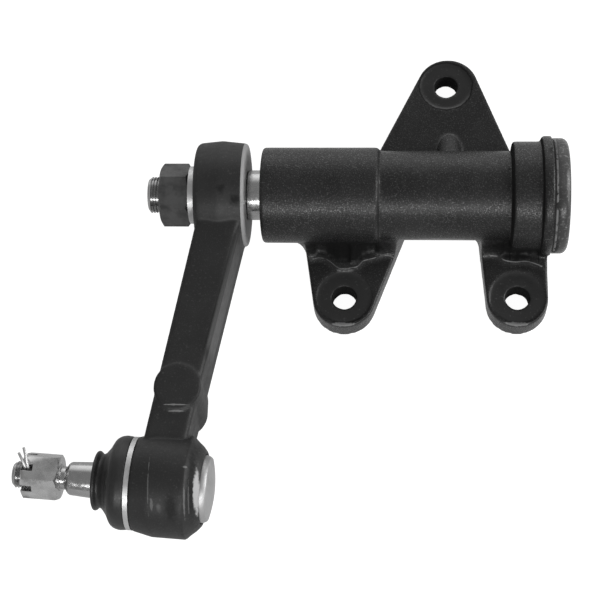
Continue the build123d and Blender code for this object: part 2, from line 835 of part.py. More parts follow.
# Every node at its place
parts = {
    "housing": housing,
    "front_bush": Pos(0, 0, pivot_height) * front_bush,
    "rear_bush": Pos(0, 0, pivot_height) * rear_bush,
    "dust_seal": Pos(0, 0, pivot_height) * dust_seal,
    "inner_thrust_washer": Pos(0, 0, pivot_height) * inner_thrust_washer,
    "cap_gasket": Pos(0, 0, pivot_height) * cap_gasket,
    "end_cap": Pos(0, 0, pivot_height) * end_cap,
    "idler_arm": arm_frame * idler_arm,
    "pivot_shaft": arm_frame * pivot_shaft,
    "outer_thrust_washer": arm_frame * outer_thrust_washer,
    "shaft_nut": arm_frame * shaft_nut,
    "shaft_split_pin": arm_frame * shaft_split_pin,
    "arm_nut": arm_frame * arm_nut,
    "spring_washer": arm_frame * spring_washer,
    "ball_seat": joint_frame * ball_seat,
    "pressure_seat": joint_frame * pressure_seat,
    "preload_spring": joint_frame * preload_spring,
    "socket_cap": joint_frame * socket_cap,
    "boot_ring": joint_frame * boot_ring,
    "dust_boot": joint_frame * dust_boot,
    "boot_neck_ring": joint_frame * boot_neck_ring,
    "ball_stud": joint_frame * ball_stud,
    "castle_nut": joint_frame * castle,
    "cotter_pin": joint_frame * cotter_pin,
}
for name, shape in parts.items():
    export_step(shape, f"parts/{name}.step")
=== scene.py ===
import json
import logging
import math
from dataclasses import dataclass
from enum import Enum

import bmesh
import bpy
from mathutils import Matrix, Vector

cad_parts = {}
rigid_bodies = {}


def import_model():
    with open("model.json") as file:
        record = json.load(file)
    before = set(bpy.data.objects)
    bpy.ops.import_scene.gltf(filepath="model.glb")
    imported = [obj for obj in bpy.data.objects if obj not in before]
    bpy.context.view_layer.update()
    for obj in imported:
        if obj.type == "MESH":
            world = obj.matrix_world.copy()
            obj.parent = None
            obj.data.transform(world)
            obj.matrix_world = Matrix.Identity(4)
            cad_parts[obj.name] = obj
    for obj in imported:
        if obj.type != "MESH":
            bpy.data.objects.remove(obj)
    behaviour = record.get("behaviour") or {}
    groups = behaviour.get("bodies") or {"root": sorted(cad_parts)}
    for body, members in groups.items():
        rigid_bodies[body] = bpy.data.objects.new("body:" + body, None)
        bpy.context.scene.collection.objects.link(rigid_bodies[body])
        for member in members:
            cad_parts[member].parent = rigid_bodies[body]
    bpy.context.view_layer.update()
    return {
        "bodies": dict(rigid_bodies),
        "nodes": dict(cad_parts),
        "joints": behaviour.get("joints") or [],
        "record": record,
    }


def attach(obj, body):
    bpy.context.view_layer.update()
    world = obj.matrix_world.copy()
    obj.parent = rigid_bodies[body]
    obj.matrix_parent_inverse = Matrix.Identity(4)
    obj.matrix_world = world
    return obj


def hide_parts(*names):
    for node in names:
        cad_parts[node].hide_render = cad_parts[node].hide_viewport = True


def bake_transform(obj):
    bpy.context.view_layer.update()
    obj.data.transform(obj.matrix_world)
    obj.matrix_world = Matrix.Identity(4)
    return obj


LOG = logging.getLogger("idler_arm")
MM = 0.001
Material = bpy.types.Material
Object = bpy.types.Object
Socket = bpy.types.NodeSocket
Finishes = dict[str, Material]
Grey = float
Pair = tuple[float, float]
Triple = tuple[float, float, float]
Outline = list[Pair]

# The CAD model's sizes that the looks follow, in millimetres
PIVOT_HEIGHT = 33.5
ARM_CENTRES = 162.3
BALL_X = -145.6
SOCKET_RADIUS = 26.6
FLOOR_GAP = 0.1
STUD_LEAN = math.radians(3.7)
STEP_X = -37.8
COLLAR_X = 33.4
RIM_X = 49.0
BOLT_HOLES = ((-1.0, 78.4), (-56.4, -51.5), (37.4, -51.0))
ARM_DROOP = math.asin((PIVOT_HEIGHT - SOCKET_RADIUS - FLOOR_GAP) / ARM_CENTRES)

# Metres within which a CAD mesh's corners are joined, and the share of a side that a rounding takes
JOIN_WITHIN = 2e-6
CORNER_SHARE = 0.45

# Degrees over which an edge stays sharp
CAST_SHARP = 60.0
TURNED_SHARP = 28.0
THREAD_SHARP = 25.0
LINE_SHARP = 50.0
NUT_SHARP = 20.0
PIN_SHARP = 50.0

# Grain: rates against the grain's own, spans of noise, and how much each layer lifts the surface
COARSE_RATE = 0.32
SPOT_RATE = 0.55
PIT_SPAN = (0.0, 0.35)
SPECK_SPAN = (0.66, 0.76)
GLINT_SPAN = (0.54, 0.68)
COARSE_LIFT = 0.35
FINE_LIFT = 0.9
PIT_LIFT = 0.4

# Soil: its haze's rate against the patches', and spans of noise
HAZE_RATE = 6.0
SOIL_SPAN = (0.42, 0.68)
HAZE_SPAN = (0.3, 0.7)

# Skins: spans of pointiness and noise, lumps per metre, and what oil smudges, painted shade and
# flat faces change
SKIN_WEAR = (0.54, 0.62)
SKIN_EDGES = (0.51, 0.545)
RIM_BREAKS = (0.4, 0.52)
RIM_FADE = (0.2, 0.3)
EDGE_LINE_ENDS = (0.5, 0.38)
POOL_LUMPS = 420.0
RIM_LUMPS = 260.0
LINE_LUMPS = 350.0
OIL_AND_SHADE_BLACK: Grey = 0.004
OIL_AND_SHADE_ROUGHNESS = 0.7
COAT_IOR = 1.8
FACE_SMOOTHING = 0.85
SPECK_SHARE = 0.6

# Steel and rubber: patches and grains per metre, and the relief's height in metres
STEEL_PATCHES = 90.0
RUBBER_PATCHES = 70.0
PLAIN_GRAINS = 900.0
RUBBER_GRAINS = 2200.0
STEEL_RELIEF = 0.00004
RUBBER_RELIEF = 0.00005


def pivot_place() -> Matrix:
    """The pivot axis as a place: local X along the shaft, turned with the arm's droop.

    Returns:
        A matrix from millimetres along the shaft to metres in the frame.
    """
    droop = Matrix.Rotation(ARM_DROOP, 4, "X")
    return Matrix.Translation((0, 0, PIVOT_HEIGHT * MM)) @ droop @ Matrix.Scale(MM, 4)


def stud_place() -> Matrix:
    """The ball joint as a place: local X along the stud, the origin at the ball's centre.

    Returns:
        A matrix from millimetres along the stud to metres in the frame.
    """
    lean = Matrix.Rotation(math.pi - STUD_LEAN, 4, "Z")
    return pivot_place() @ Matrix.Translation((BALL_X, -ARM_CENTRES, 0)) @ lean


class Axis(Enum):
    """The axis that a turned finish follows."""

    PIVOT = "pivot"
    STUD = "stud"


class Shader:
    """A node tree with a short way to add and join its nodes."""

    def __init__(self, tree: bpy.types.NodeTree) -> None:
        """Keeps the tree that nodes are added to."""
        self.tree = tree

    def add(self, kind: str, sockets: dict | None = None, **settings: object) -> bpy.types.Node:
        """Adds a node, sets its options and fills or links its inputs.

        Args:
            kind: The node's type.
            sockets: Values or output sockets, by input name or number.
            settings: The node's own options.

        Returns:
            The new node.
        """
        node = self.tree.nodes.new(kind)
        for name, value in settings.items():
            setattr(node, name, value)
        self.fill(node, sockets or {})
        return node

    def fill(self, node: bpy.types.Node, sockets: dict) -> None:
        """Links a node's inputs to output sockets, or sets them to values, by name or number."""
        for name, value in sockets.items():
            socket = node.inputs[name]
            if isinstance(value, Socket):
                self.tree.links.new(value, socket)
            else:
                socket.default_value = value

    def math(self, operation: str, a: object, b: object = 0.0) -> Socket:
        """Adds one Math node and returns its value."""
        return self.add("ShaderNodeMath", {0: a, 1: b}, operation=operation).outputs[0]

    def vector(self, operation: str, a: object, b: object) -> Socket:
        """Adds one Vector Math node and returns its vector."""
        return self.add("ShaderNodeVectorMath", {0: a, 1: b}, operation=operation).outputs["Vector"]

    def dot(self, a: object, b: object) -> Socket:
        """Adds the dot product of two vectors and returns its value."""
        node = self.add("ShaderNodeVectorMath", {0: a, 1: b}, operation="DOT_PRODUCT")
        return node.outputs["Value"]

    def split(self, vector: object) -> bpy.types.bpy_prop_collection:
        """Adds a Separate XYZ and returns its three outputs."""
        return self.add("ShaderNodeSeparateXYZ", {0: vector}).outputs

    def ramp(
        self,
        value: object,
        low: float,
        high: float,
        to_low: float = 0.0,
        to_high: float = 1.0,
    ) -> Socket:
        """Adds a smooth Map Range and returns its result."""
        sockets = {
            "Value": value,
            "From Min": low,
            "From Max": high,
            "To Min": to_low,
            "To Max": to_high,
        }
        node = self.add("ShaderNodeMapRange", sockets, interpolation_type="SMOOTHSTEP")
        return node.outputs["Result"]

    def noise(
        self, vector: object, scale: object, detail: float = 3.0, roughness: float = 0.5
    ) -> Socket:
        """Adds a Noise texture and returns its factor."""
        sockets = {"Vector": vector, "Scale": scale, "Detail": detail, "Roughness": roughness}
        return self.add("ShaderNodeTexNoise", sockets).outputs["Fac"]

    def tint(self, factor: object, below: object, above: object) -> Socket:
        """Adds a colour mix and returns its colour."""
        sockets = {"Factor": factor, 6: below, 7: above}
        return self.add("ShaderNodeMix", sockets, data_type="RGBA").outputs[2]

    def relief(self, strength: object, distance: float, height: object) -> Socket:
        """Adds a Bump and returns its normal."""
        sockets = {"Strength": strength, "Distance": distance, "Height": height}
        return self.add("ShaderNodeBump", sockets).outputs["Normal"]


def effect_group(
    name: str, inputs: dict[str, float | None], outputs: list[str]
) -> tuple[Shader, dict, bpy.types.Node]:
    """Starts a shader node group.

    Args:
        name: The group's name.
        inputs: Input names with their defaults; None makes a vector.
        outputs: Names of the value outputs.

    Returns:
        The tree's shader, its input sockets by name, and its output node.
    """
    tree = bpy.data.node_groups.new(name, "ShaderNodeTree")
    for label, default in inputs.items():
        kind = "NodeSocketVector" if default is None else "NodeSocketFloat"
        socket = tree.interface.new_socket(label, in_out="INPUT", socket_type=kind)
        if default is not None:
            socket.default_value = default
    for label in outputs:
        tree.interface.new_socket(label, in_out="OUTPUT", socket_type="NodeSocketFloat")
    shader = Shader(tree)
    entry = shader.add("NodeGroupInput")
    return shader, {label: entry.outputs[label] for label in inputs}, shader.add("NodeGroupOutput")


class Effects:
    """The shader groups that several finishes share, each built once."""

    def __init__(self) -> None:
        """Builds every group."""
        self.grain = self.build_grain()
        self.soil = self.build_soil()
        self.turning = self.build_turning()

    @staticmethod
    def build_grain() -> bpy.types.NodeTree:
        """The sand or scale texture of a cast or forged skin, with its pits and light specks."""
        inputs = {"Vector": None, "Grains per metre": 1500.0}
        shader, given, end = effect_group("skin_grain", inputs, ["Height", "Specks", "Glints"])
        place = given["Vector"]
        grains = given["Grains per metre"]
        coarse = shader.noise(place, shader.math("MULTIPLY", grains, COARSE_RATE), 3.0, 0.55)
        fine = shader.noise(place, grains, 2.0, 0.6)
        cells = shader.add("ShaderNodeTexVoronoi", {"Vector": place, "Scale": grains})
        pits = shader.ramp(cells.outputs["Distance"], *PIT_SPAN)
        height = shader.math("MULTIPLY", coarse, COARSE_LIFT)
        height = shader.math("ADD", height, shader.math("MULTIPLY", fine, FINE_LIFT))
        height = shader.math("ADD", height, shader.math("MULTIPLY", pits, PIT_LIFT))
        spots = shader.noise(place, shader.math("MULTIPLY", grains, SPOT_RATE), 1.0, 0.4)
        specks = shader.ramp(spots, *SPECK_SPAN)
        glints = shader.ramp(fine, *GLINT_SPAN)
        shader.fill(end, {"Height": height, "Specks": specks, "Glints": glints})
        return shader.tree

    @staticmethod
    def build_soil() -> bpy.types.NodeTree:
        """Uneven dust and handling marks: a mask of patches and a finer haze."""
        inputs = {"Vector": None, "Patches per metre": 40.0}
        shader, given, end = effect_group("handling_soil", inputs, ["Mask", "Haze"])
        place = given["Vector"]
        rate = given["Patches per metre"]
        patches = shader.noise(place, rate, 5.0, 0.6)
        haze = shader.noise(place, shader.math("MULTIPLY", rate, HAZE_RATE), 4.0, 0.65)
        shader.fill(end, {"Mask": shader.ramp(patches, *SOIL_SPAN), "Haze": haze})
        return shader.tree

    @staticmethod
    def build_turning() -> bpy.types.NodeTree:
        """The fine rings that a lathe leaves, counted along the given distance."""
        inputs = {"Along": 0.0, "Rings per metre": 4000.0}
        shader, given, end = effect_group("turning_rings", inputs, ["Height"])
        sockets = {"W": given["Along"], "Scale": given["Rings per metre"], "Detail": 2.0}
        rings = shader.add("ShaderNodeTexNoise", sockets, noise_dimensions="1D")
        shader.fill(end, {"Height": rings.outputs["Fac"]})
        return shader.tree


def blank_material(name: str) -> tuple[Material, Shader, bpy.types.Node, Socket]:
    """Starts a material.

    Args:
        name: The material's name.

    Returns:
        The material, its shader, its Principled node and the Object coordinates.
    """
    material = bpy.data.materials.new(name)
    material.use_nodes = True
    shader = Shader(material.node_tree)
    surface = material.node_tree.nodes["Principled BSDF"]
    return material, shader, surface, shader.add("ShaderNodeTexCoord").outputs["Object"]


def grey(value: Grey) -> tuple[float, float, float, float]:
    """A neutral colour."""
    return (value, value, value, 1.0)


@dataclass(frozen=True)
class SkinPatch:
    """An ellipsoid where the skin differs, in millimetres: an oil smudge, painted shade, a smoother
    face, worn paint or a painted highlight, as each finish lists it.
    """

    centre: Triple
    radii: Triple
    strength: float = 1.0
    ragged: float = 0.5
    softness: float = 0.4
    inner: float = 0.0
    colour: Grey = 0.2

    def mask(self, shader: Shader, place: Socket) -> Socket:
        """Adds the pool's soft mask and returns it."""
        away = shader.vector("SUBTRACT", place, Vector(self.centre) * MM)
        share = shader.vector("DIVIDE", away, [MM * radius for radius in self.radii])
        length = shader.add("ShaderNodeVectorMath", {0: share}, operation="LENGTH")
        reach = length.outputs["Value"]
        noise = shader.math("SUBTRACT", shader.noise(place, POOL_LUMPS, 3.0, 0.6), 0.5)
        uneven = shader.math("ADD", reach, shader.math("MULTIPLY", noise, self.ragged))
        mask = shader.ramp(uneven, 1.0, 1.0 - self.softness, 0.0, self.strength)
        if self.inner:
            hollow = shader.ramp(uneven, self.inner - self.softness, self.inner)
            mask = shader.math("MULTIPLY", mask, hollow)
        return mask


@dataclass(frozen=True)
class EdgeBand:
    """A thin band along an edge, between two points seen from above, in millimetres; the arm uses
    it for painted shade along its beam's edge and for a painted highlight on the beam's side.
    """

    start: Pair
    stop: Pair
    above: float
    width: float = 1.5
    strength: float = 0.95
    colour: Grey = 0.2

    def mask(self, shader: Shader, place: Socket) -> Socket:
        """Adds the line's soft mask and returns it."""
        start = Vector((*self.start, 0.0)) * MM
        course = Vector((*self.stop, 0.0)) * MM - start
        away = shader.vector("SUBTRACT", place, start)
        across = Vector((course.y, -course.x, 0.0)).normalized()
        gap = shader.math("ABSOLUTE", shader.dot(away, across))
        share = shader.dot(away, course / course.length_squared)
        reach = shader.math("ABSOLUTE", shader.math("SUBTRACT", share, 0.5))
        height = shader.split(place)["Z"]
        line = shader.ramp(gap, self.width * MM, self.width * MM / 2, 0.0, self.strength)
        line = shader.math("MULTIPLY", line, shader.ramp(reach, *EDGE_LINE_ENDS))
        above = shader.ramp(height, self.above * MM, self.above * MM + MM)
        return shader.math("MULTIPLY", line, above)


@dataclass(frozen=True)
class Skin:
    """Black paint or scale over a cast or forged surface; depth is the grain's height in metres."""

    name: str
    dark: Grey = 0.011
    pale: Grey = 0.018
    speck: Grey = 0.06
    grains: float = 1500.0
    depth: float = 0.00032
    bump: float = 1.0
    gloss_low: float = 0.17
    gloss_high: float = 0.26
    under_shine: float = 0.2
    shine_low: float = 0.12
    shine_high: float = 0.85
    face_shine: float = 0.35
    coat_roughness: float = 0.36
    edge: Grey = 0.1
    # Darker patches: oil smudges, and painted shade in recesses and along edges
    oil_and_painted_shade: tuple[SkinPatch | EdgeBand, ...] = ()
    faces: tuple[SkinPatch, ...] = ()
    # Lighter patches: worn paint, and painted highlights
    wear_and_painted_highlights: tuple[SkinPatch | EdgeBand, ...] = ()
    # A lighter band along the shaft: worn paint on the cap's rim, a painted highlight on the arm
    # boss's rim
    worn_and_lit_rim: Pair = (0.0, 0.0)
    rim: Grey = 0.3
    rim_breaks: float = 1.0
    dull_edge: float = 0.0

    def material(self, effects: Effects) -> Material:
        """Builds the finish: grain, specks, soil and wear, then smoother faces, a lighter rim band
        of worn paint and painted highlight, darker patches of oil and painted shade, and lighter
        patches of wear and painted highlight.
        """
        material, shader, surface, place = blank_material(self.name)
        sockets = {"Vector": place, "Grains per metre": self.grains}
        grain = shader.add("ShaderNodeGroup", sockets, node_tree=effects.grain).outputs
        soil = shader.add("ShaderNodeGroup", {"Vector": place}, node_tree=effects.soil).outputs
        tone = shader.tint(soil["Mask"], grey(self.dark), grey(self.pale))
        speck = shader.math("MULTIPLY", grain["Specks"], SPECK_SHARE)
        specked = shader.tint(speck, tone, grey(self.speck))
        point = shader.add("ShaderNodeNewGeometry").outputs["Pointiness"]
        wear = shader.math("MULTIPLY", shader.ramp(point, *SKIN_WEAR), soil["Haze"])
        colour = shader.tint(wear, specked, grey(self.edge))
        gloss = shader.ramp(soil["Haze"], *HAZE_SPAN, self.gloss_low, self.gloss_high)
        shine = shader.ramp(grain["Glints"], 0.0, 1.0, self.shine_low, self.shine_high)
        dulled = shader.ramp(point, *SKIN_EDGES, 1.0, 1.0 - self.dull_edge)
        shine = shader.math("MULTIPLY", shine, dulled)
        strength = self.bump
        for face in self.faces:
            mask = face.mask(shader, place)
            sockets = {"Factor": mask, 2: shine, 3: self.face_shine}
            shine = shader.add("ShaderNodeMix", sockets).outputs[0]
            left = shader.math("SUBTRACT", 1.0, shader.math("MULTIPLY", mask, FACE_SMOOTHING))
            strength = shader.math("MULTIPLY", strength, left)
        # A lighter rim band: worn paint on the cap, a painted highlight on the arm's boss
        if self.worn_and_lit_rim[1] > self.worn_and_lit_rim[0]:
            colour = shader.tint(self.rim_mask(shader, place), colour, grey(self.rim))
        # Darker patches with less shine and more roughness: oil smudges, and painted shade
        for dark_patch in self.oil_and_painted_shade:
            mask = dark_patch.mask(shader, place)
            shine = shader.math("MULTIPLY", shine, shader.math("SUBTRACT", 1.0, mask))
            colour = shader.tint(mask, colour, grey(OIL_AND_SHADE_BLACK))
            gloss = shader.math("ADD", gloss, shader.math("MULTIPLY", mask, OIL_AND_SHADE_ROUGHNESS))
        # Lighter patches: worn paint, and painted highlights
        for light_patch in self.wear_and_painted_highlights:
            colour = shader.tint(light_patch.mask(shader, place), colour, grey(light_patch.colour))
        sockets = {
            "Base Color": colour,
            "Roughness": gloss,
            "Coat Weight": shine,
            "Specular IOR Level": self.under_shine,
            "Coat IOR": COAT_IOR,
            "Coat Roughness": self.coat_roughness,
            "Normal": shader.relief(strength, self.depth, grain["Height"]),
        }
        shader.fill(surface, sockets)
        return material

    def rim_mask(self, shader: Shader, place: Socket) -> Socket:
        """Adds the mask of the lighter rim band, worn paint on the cap and a painted highlight on
        the arm's boss, which lies between two distances along the shaft.
        """
        along = shader.split(place)["X"]
        start, stop = (at * MM for at in self.worn_and_lit_rim)
        before, after = (fade * MM for fade in RIM_FADE)
        below = shader.ramp(along, stop + after, stop)
        band = shader.math("MULTIPLY", below, shader.ramp(along, start - before, start))
        lumps = shader.noise(place, RIM_LUMPS, 4.0, 0.7)
        breaks = shader.ramp(lumps, *RIM_BREAKS, 1.0 - self.rim_breaks, 1.0)
        return shader.math("MULTIPLY", band, breaks)


@dataclass(frozen=True)
class Steel:
    """Bare or treated steel, turned about an axis or plain."""

    name: str
    colour: Grey = 0.6
    stain: Grey = 0.4
    metallic: float = 1.0
    roughness: float = 0.3
    uneven: float = 0.1
    rings: float = 0.0
    ring_bump: float = 0.2
    axis: Axis = Axis.PIVOT

    def material(self, effects: Effects) -> Material:
        """Builds the finish: stains, uneven gloss and lathe rings where the piece was turned."""
        material, shader, surface, place = blank_material(self.name)
        sockets = {"Vector": place, "Patches per metre": STEEL_PATCHES}
        soil = shader.add("ShaderNodeGroup", sockets, node_tree=effects.soil).outputs
        low = self.roughness - self.uneven
        high = self.roughness + self.uneven
        if self.rings:
            turn = STUD_LEAN if self.axis is Axis.STUD else 0.0
            local = shader.add("ShaderNodeMapping", {"Vector": place, "Rotation": (0, 0, turn)})
            along = shader.split(local.outputs[0])["X"]
            sockets = {"Along": along, "Rings per metre": self.rings}
            turning = shader.add("ShaderNodeGroup", sockets, node_tree=effects.turning)
            height = turning.outputs["Height"]
        else:
            height = shader.noise(place, PLAIN_GRAINS, 3.0, 0.6)
        sockets = {
            "Base Color": shader.tint(soil["Mask"], grey(self.colour), grey(self.stain)),
            "Metallic": self.metallic,
            "Roughness": shader.ramp(soil["Haze"], *HAZE_SPAN, low, high),
            "Normal": shader.relief(self.ring_bump, STEEL_RELIEF, height),
        }
        shader.fill(surface, sockets)
        return material


@dataclass(frozen=True)
class Rubber:
    """Moulded rubber or resin with a faint bloom."""

    name: str
    colour: Grey = 0.012
    bloom: Grey = 0.03
    roughness: float = 0.42
    uneven: Pair = (0.06, 0.08)
    bump: float = 0.12

    def material(self, effects: Effects) -> Material:
        """Builds the finish: a dusty bloom and a fine moulded texture."""
        material, shader, surface, place = blank_material(self.name)
        sockets = {"Vector": place, "Patches per metre": RUBBER_PATCHES}
        soil = shader.add("ShaderNodeGroup", sockets, node_tree=effects.soil).outputs
        low = self.roughness - self.uneven[0]
        high = self.roughness + self.uneven[1]
        grain = shader.noise(place, RUBBER_GRAINS, 2.0, 0.5)
        sockets = {
            "Base Color": shader.tint(soil["Haze"], grey(self.colour), grey(self.bloom)),
            "Roughness": shader.ramp(soil["Haze"], *HAZE_SPAN, low, high),
            "Normal": shader.relief(self.bump, RUBBER_RELIEF, grain),
        }
        shader.fill(surface, sockets)
        return material


def add_object(name: str, data: bpy.types.ID) -> Object:
    """Makes an object of a mesh, a lamp or a camera and adds it to the scene."""
    obj = bpy.data.objects.new(name, data)
    bpy.context.scene.collection.objects.link(obj)
    return obj


def take_mesh(shape: bmesh.types.BMesh, name: str = "work") -> bpy.types.Mesh:
    """Makes a mesh of a shape and frees the shape."""
    mesh = bpy.data.meshes.new(name)
    shape.to_mesh(mesh)
    shape.free()
    return mesh


def note(piece: Object, body: str) -> None:
    """Logs a finished piece."""
    LOG.info("%s: %d faces on %s", piece.name, len(piece.data.polygons), body)


def keep_mesh(obj: Object, name: str, material: Material, sharp: float) -> Object:
    """Makes a plain mesh piece of an object's evaluated shape.

    Args:
        obj: The object to take the shape from; it is removed.
        name: The piece's name.
        material: Its finish.
        sharp: Edges steeper than this many degrees stay sharp.

    Returns:
        The new piece.
    """
    depsgraph = bpy.context.evaluated_depsgraph_get()
    mesh = bpy.data.meshes.new_from_object(obj.evaluated_get(depsgraph))
    bpy.data.objects.remove(obj)
    mesh.materials.clear()
    mesh.materials.append(material)
    for face in mesh.polygons:
        face.use_smooth = True
        face.material_index = 0
    mesh.set_sharp_from_angle(angle=math.radians(sharp))
    return add_object(name, mesh)


def merged_copy(node: Object) -> Object:
    """A copy of a CAD node whose loose triangles are joined."""
    shape = bmesh.new()
    shape.from_mesh(node.data)
    bmesh.ops.remove_doubles(shape, verts=shape.verts, dist=JOIN_WITHIN)
    return add_object("work", take_mesh(shape))


@dataclass
class Piece:
    """One visible piece that stands for a CAD node."""

    name: str
    node: str
    body: str
    finish: str
    sharp: float = 32.0

    def dress(self, frame: dict, finishes: Finishes) -> Object:
        """Copies the node with smooth shading, gives it its finish and hangs it on its body."""
        copy = merged_copy(frame["nodes"][self.node])
        piece = keep_mesh(copy, self.name, finishes[self.finish], self.sharp)
        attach(piece, self.body)
        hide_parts(self.node)
        note(piece, self.body)
        return piece


@dataclass
class CastPiece(Piece):
    """A casting or forging whose edges are softened as sand and dies leave them."""

    voxel: float = 0.95
    relax: float = 0.5
    smoothing: int = 4

    def dress(self, frame: dict, finishes: Finishes) -> Object:
        """Remeshes the node, relaxes its edges and hangs it on its body."""
        copy = merged_copy(frame["nodes"][self.node])
        remesh = copy.modifiers.new("skin", "REMESH")
        remesh.mode = "VOXEL"
        remesh.voxel_size = self.voxel * MM
        relax = copy.modifiers.new("relax", "SMOOTH")
        relax.factor = self.relax
        relax.iterations = self.smoothing
        piece = keep_mesh(copy, self.name, finishes[self.finish], CAST_SHARP)
        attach(piece, self.body)
        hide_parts(self.node)
        note(piece, self.body)
        return piece


def turned_piece(
    name: str,
    outline: Outline,
    place: Matrix,
    material: Material,
    closed: bool = False,
    segments: int = 128,
) -> Object:
    """Turns an outline about local X.

    Args:
        name: The piece's name.
        outline: Points of (distance along the axis, radius) in millimetres.
        place: Where the axis lies.
        material: The piece's finish.
        closed: True for a ring, whose outline ends where it starts.
        segments: Steps round the axis.

    Returns:
        The new piece, its place in its mesh.
    """
    shape = bmesh.new()
    angles = [2 * math.pi * i / segments for i in range(segments)]
    rings = []
    for along, radius in outline:
        if radius <= 0:
            rings.append([shape.verts.new((along, 0, 0))])
            continue
        points = [(along, radius * math.cos(a), radius * math.sin(a)) for a in angles]
        rings.append([shape.verts.new(point) for point in points])
    pairs = list(zip(rings, rings[1:]))
    if closed:
        pairs.append((rings[-1], rings[0]))
    for one, two in pairs:
        for i in range(segments):
            j = (i + 1) % segments
            corners = [one[i % len(one)], one[j % len(one)], two[j % len(two)], two[i % len(two)]]
            shape.faces.new(list(dict.fromkeys(corners)))
    bmesh.ops.recalc_face_normals(shape, faces=shape.faces)
    mesh = take_mesh(shape)
    mesh.transform(place)
    return keep_mesh(add_object("work", mesh), name, material, TURNED_SHARP)


def rounded(outline: Outline, radius: float, steps: int = 3) -> Outline:
    """Rounds an outline's corners so that they catch light as machined edges do.

    Args:
        outline: Points of (distance, radius).
        radius: How far from a corner its rounding starts, in millimetres.
        steps: Points in each rounding beyond its two ends.

    Returns:
        The rounded outline.
    """
    result = [outline[0]]
    for before, corner, after in zip(outline, outline[1:], outline[2:]):
        middle = Vector(corner)
        back = Vector(before) - middle
        ahead = Vector(after) - middle
        start = middle + back.normalized() * min(radius, back.length * CORNER_SHARE)
        stop = middle + ahead.normalized() * min(radius, ahead.length * CORNER_SHARE)
        for i in range(steps + 2):
            t = i / (steps + 1)
            point = start * (1 - t) ** 2 + middle * 2 * t * (1 - t) + stop * t**2
            result.append((point.x, point.y))
    result.append(outline[-1])
    return result


def start_sweep(name: str, inputs: tuple[str, ...]) -> tuple[Shader, bpy.types.bpy_prop_collection]:
    """Starts a Geometry Nodes group.

    Args:
        name: The group's name.
        inputs: Names of its value inputs, after the geometry.

    Returns:
        The tree's nodes and the group's inputs.
    """
    tree = bpy.data.node_groups.new(name, "GeometryNodeTree")
    tree.interface.new_socket("Geometry", in_out="INPUT", socket_type="NodeSocketGeometry")
    for label in inputs:
        tree.interface.new_socket(label, in_out="INPUT", socket_type="NodeSocketFloat")
    tree.interface.new_socket("Geometry", in_out="OUTPUT", socket_type="NodeSocketGeometry")
    nodes = Shader(tree)
    return nodes, nodes.add("NodeGroupInput").outputs


def end_sweep(nodes: Shader, sockets: dict, material: Material) -> bpy.types.NodeTree:
    """Ends a Geometry Nodes group with a sweep that is realised and given its finish.

    Args:
        nodes: The tree's nodes.
        sockets: What the sweep takes: its curve, profile and scale.
        material: The finish.

    Returns:
        The node tree.
    """
    sweep = nodes.add("GeometryNodeCurveToMesh", {**sockets, "Fill Caps": True})
    whole = nodes.add("GeometryNodeRealizeInstances", {"Geometry": sweep.outputs["Mesh"]})
    sockets = {"Geometry": whole.outputs["Geometry"], "Material": material}
    finish = nodes.add("GeometryNodeSetMaterial", sockets)
    nodes.add("NodeGroupOutput", {"Geometry": finish.outputs["Geometry"]})
    return nodes.tree


def swept_mesh(mesh: bpy.types.Mesh, tree: bpy.types.NodeTree, sizes: dict[str, float]) -> Object:
    """Puts a Geometry Nodes group on a mesh and sets the group's inputs by name."""
    work = add_object("work", mesh)
    modifier = work.modifiers.new("sweep", "NODES")
    modifier.node_group = tree
    for item in tree.interface.items_tree:
        if item.in_out == "INPUT" and item.name in sizes:
            modifier[item.identifier] = sizes[item.name]
    return work


@dataclass
class Thread:
    """A screw thread's ridge, wound by Geometry Nodes on a core of its root radius."""

    name: str
    start: float
    length: float
    radius: float
    pitch: float = 1.5

    def build_tree(self, material: Material) -> bpy.types.NodeTree:
        """Builds the node tree: a spiral that is swept with a diamond."""
        nodes, given = start_sweep(self.name, ("Core radius", "Ridge", "Length", "Turns"))
        sockets = {
            "Resolution": 64,
            "Rotations": given["Turns"],
            "Start Radius": given["Core radius"],
            "End Radius": given["Core radius"],
            "Height": given["Length"],
        }
        spiral = nodes.add("GeometryNodeCurveSpiral", sockets).outputs["Curve"]
        level = nodes.add("GeometryNodeSetCurveNormal", {"Curve": spiral}, mode="Z_UP")
        sockets = {"Resolution": 4, "Radius": given["Ridge"]}
        ridge = nodes.add("GeometryNodeCurvePrimitiveCircle", sockets)
        sockets = {"Curve": level.outputs["Curve"], "Profile Curve": ridge.outputs["Curve"]}
        return end_sweep(nodes, sockets, material)

    def build(self, place: Matrix, body: str, material: Material) -> Object:
        """Winds the ridge and lays it along the axis.

        Args:
            place: Where the axis lies.
            body: The body that the thread moves with.
            material: Its finish.

        Returns:
            The thread's piece.
        """
        ridge = self.pitch / 2
        sizes = {
            "Core radius": self.radius - ridge,
            "Ridge": ridge,
            "Length": self.length - self.pitch,
            "Turns": (self.length - self.pitch) / self.pitch,
        }
        work = swept_mesh(bpy.data.meshes.new("work"), self.build_tree(material), sizes)
        piece = keep_mesh(work, self.name, material, THREAD_SHARP)
        turn = Matrix.Rotation(math.pi / 2, 4, "Y")
        piece.data.transform(place @ Matrix.Translation((self.start + ridge, 0, 0)) @ turn)
        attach(piece, body)
        note(piece, body)
        return piece


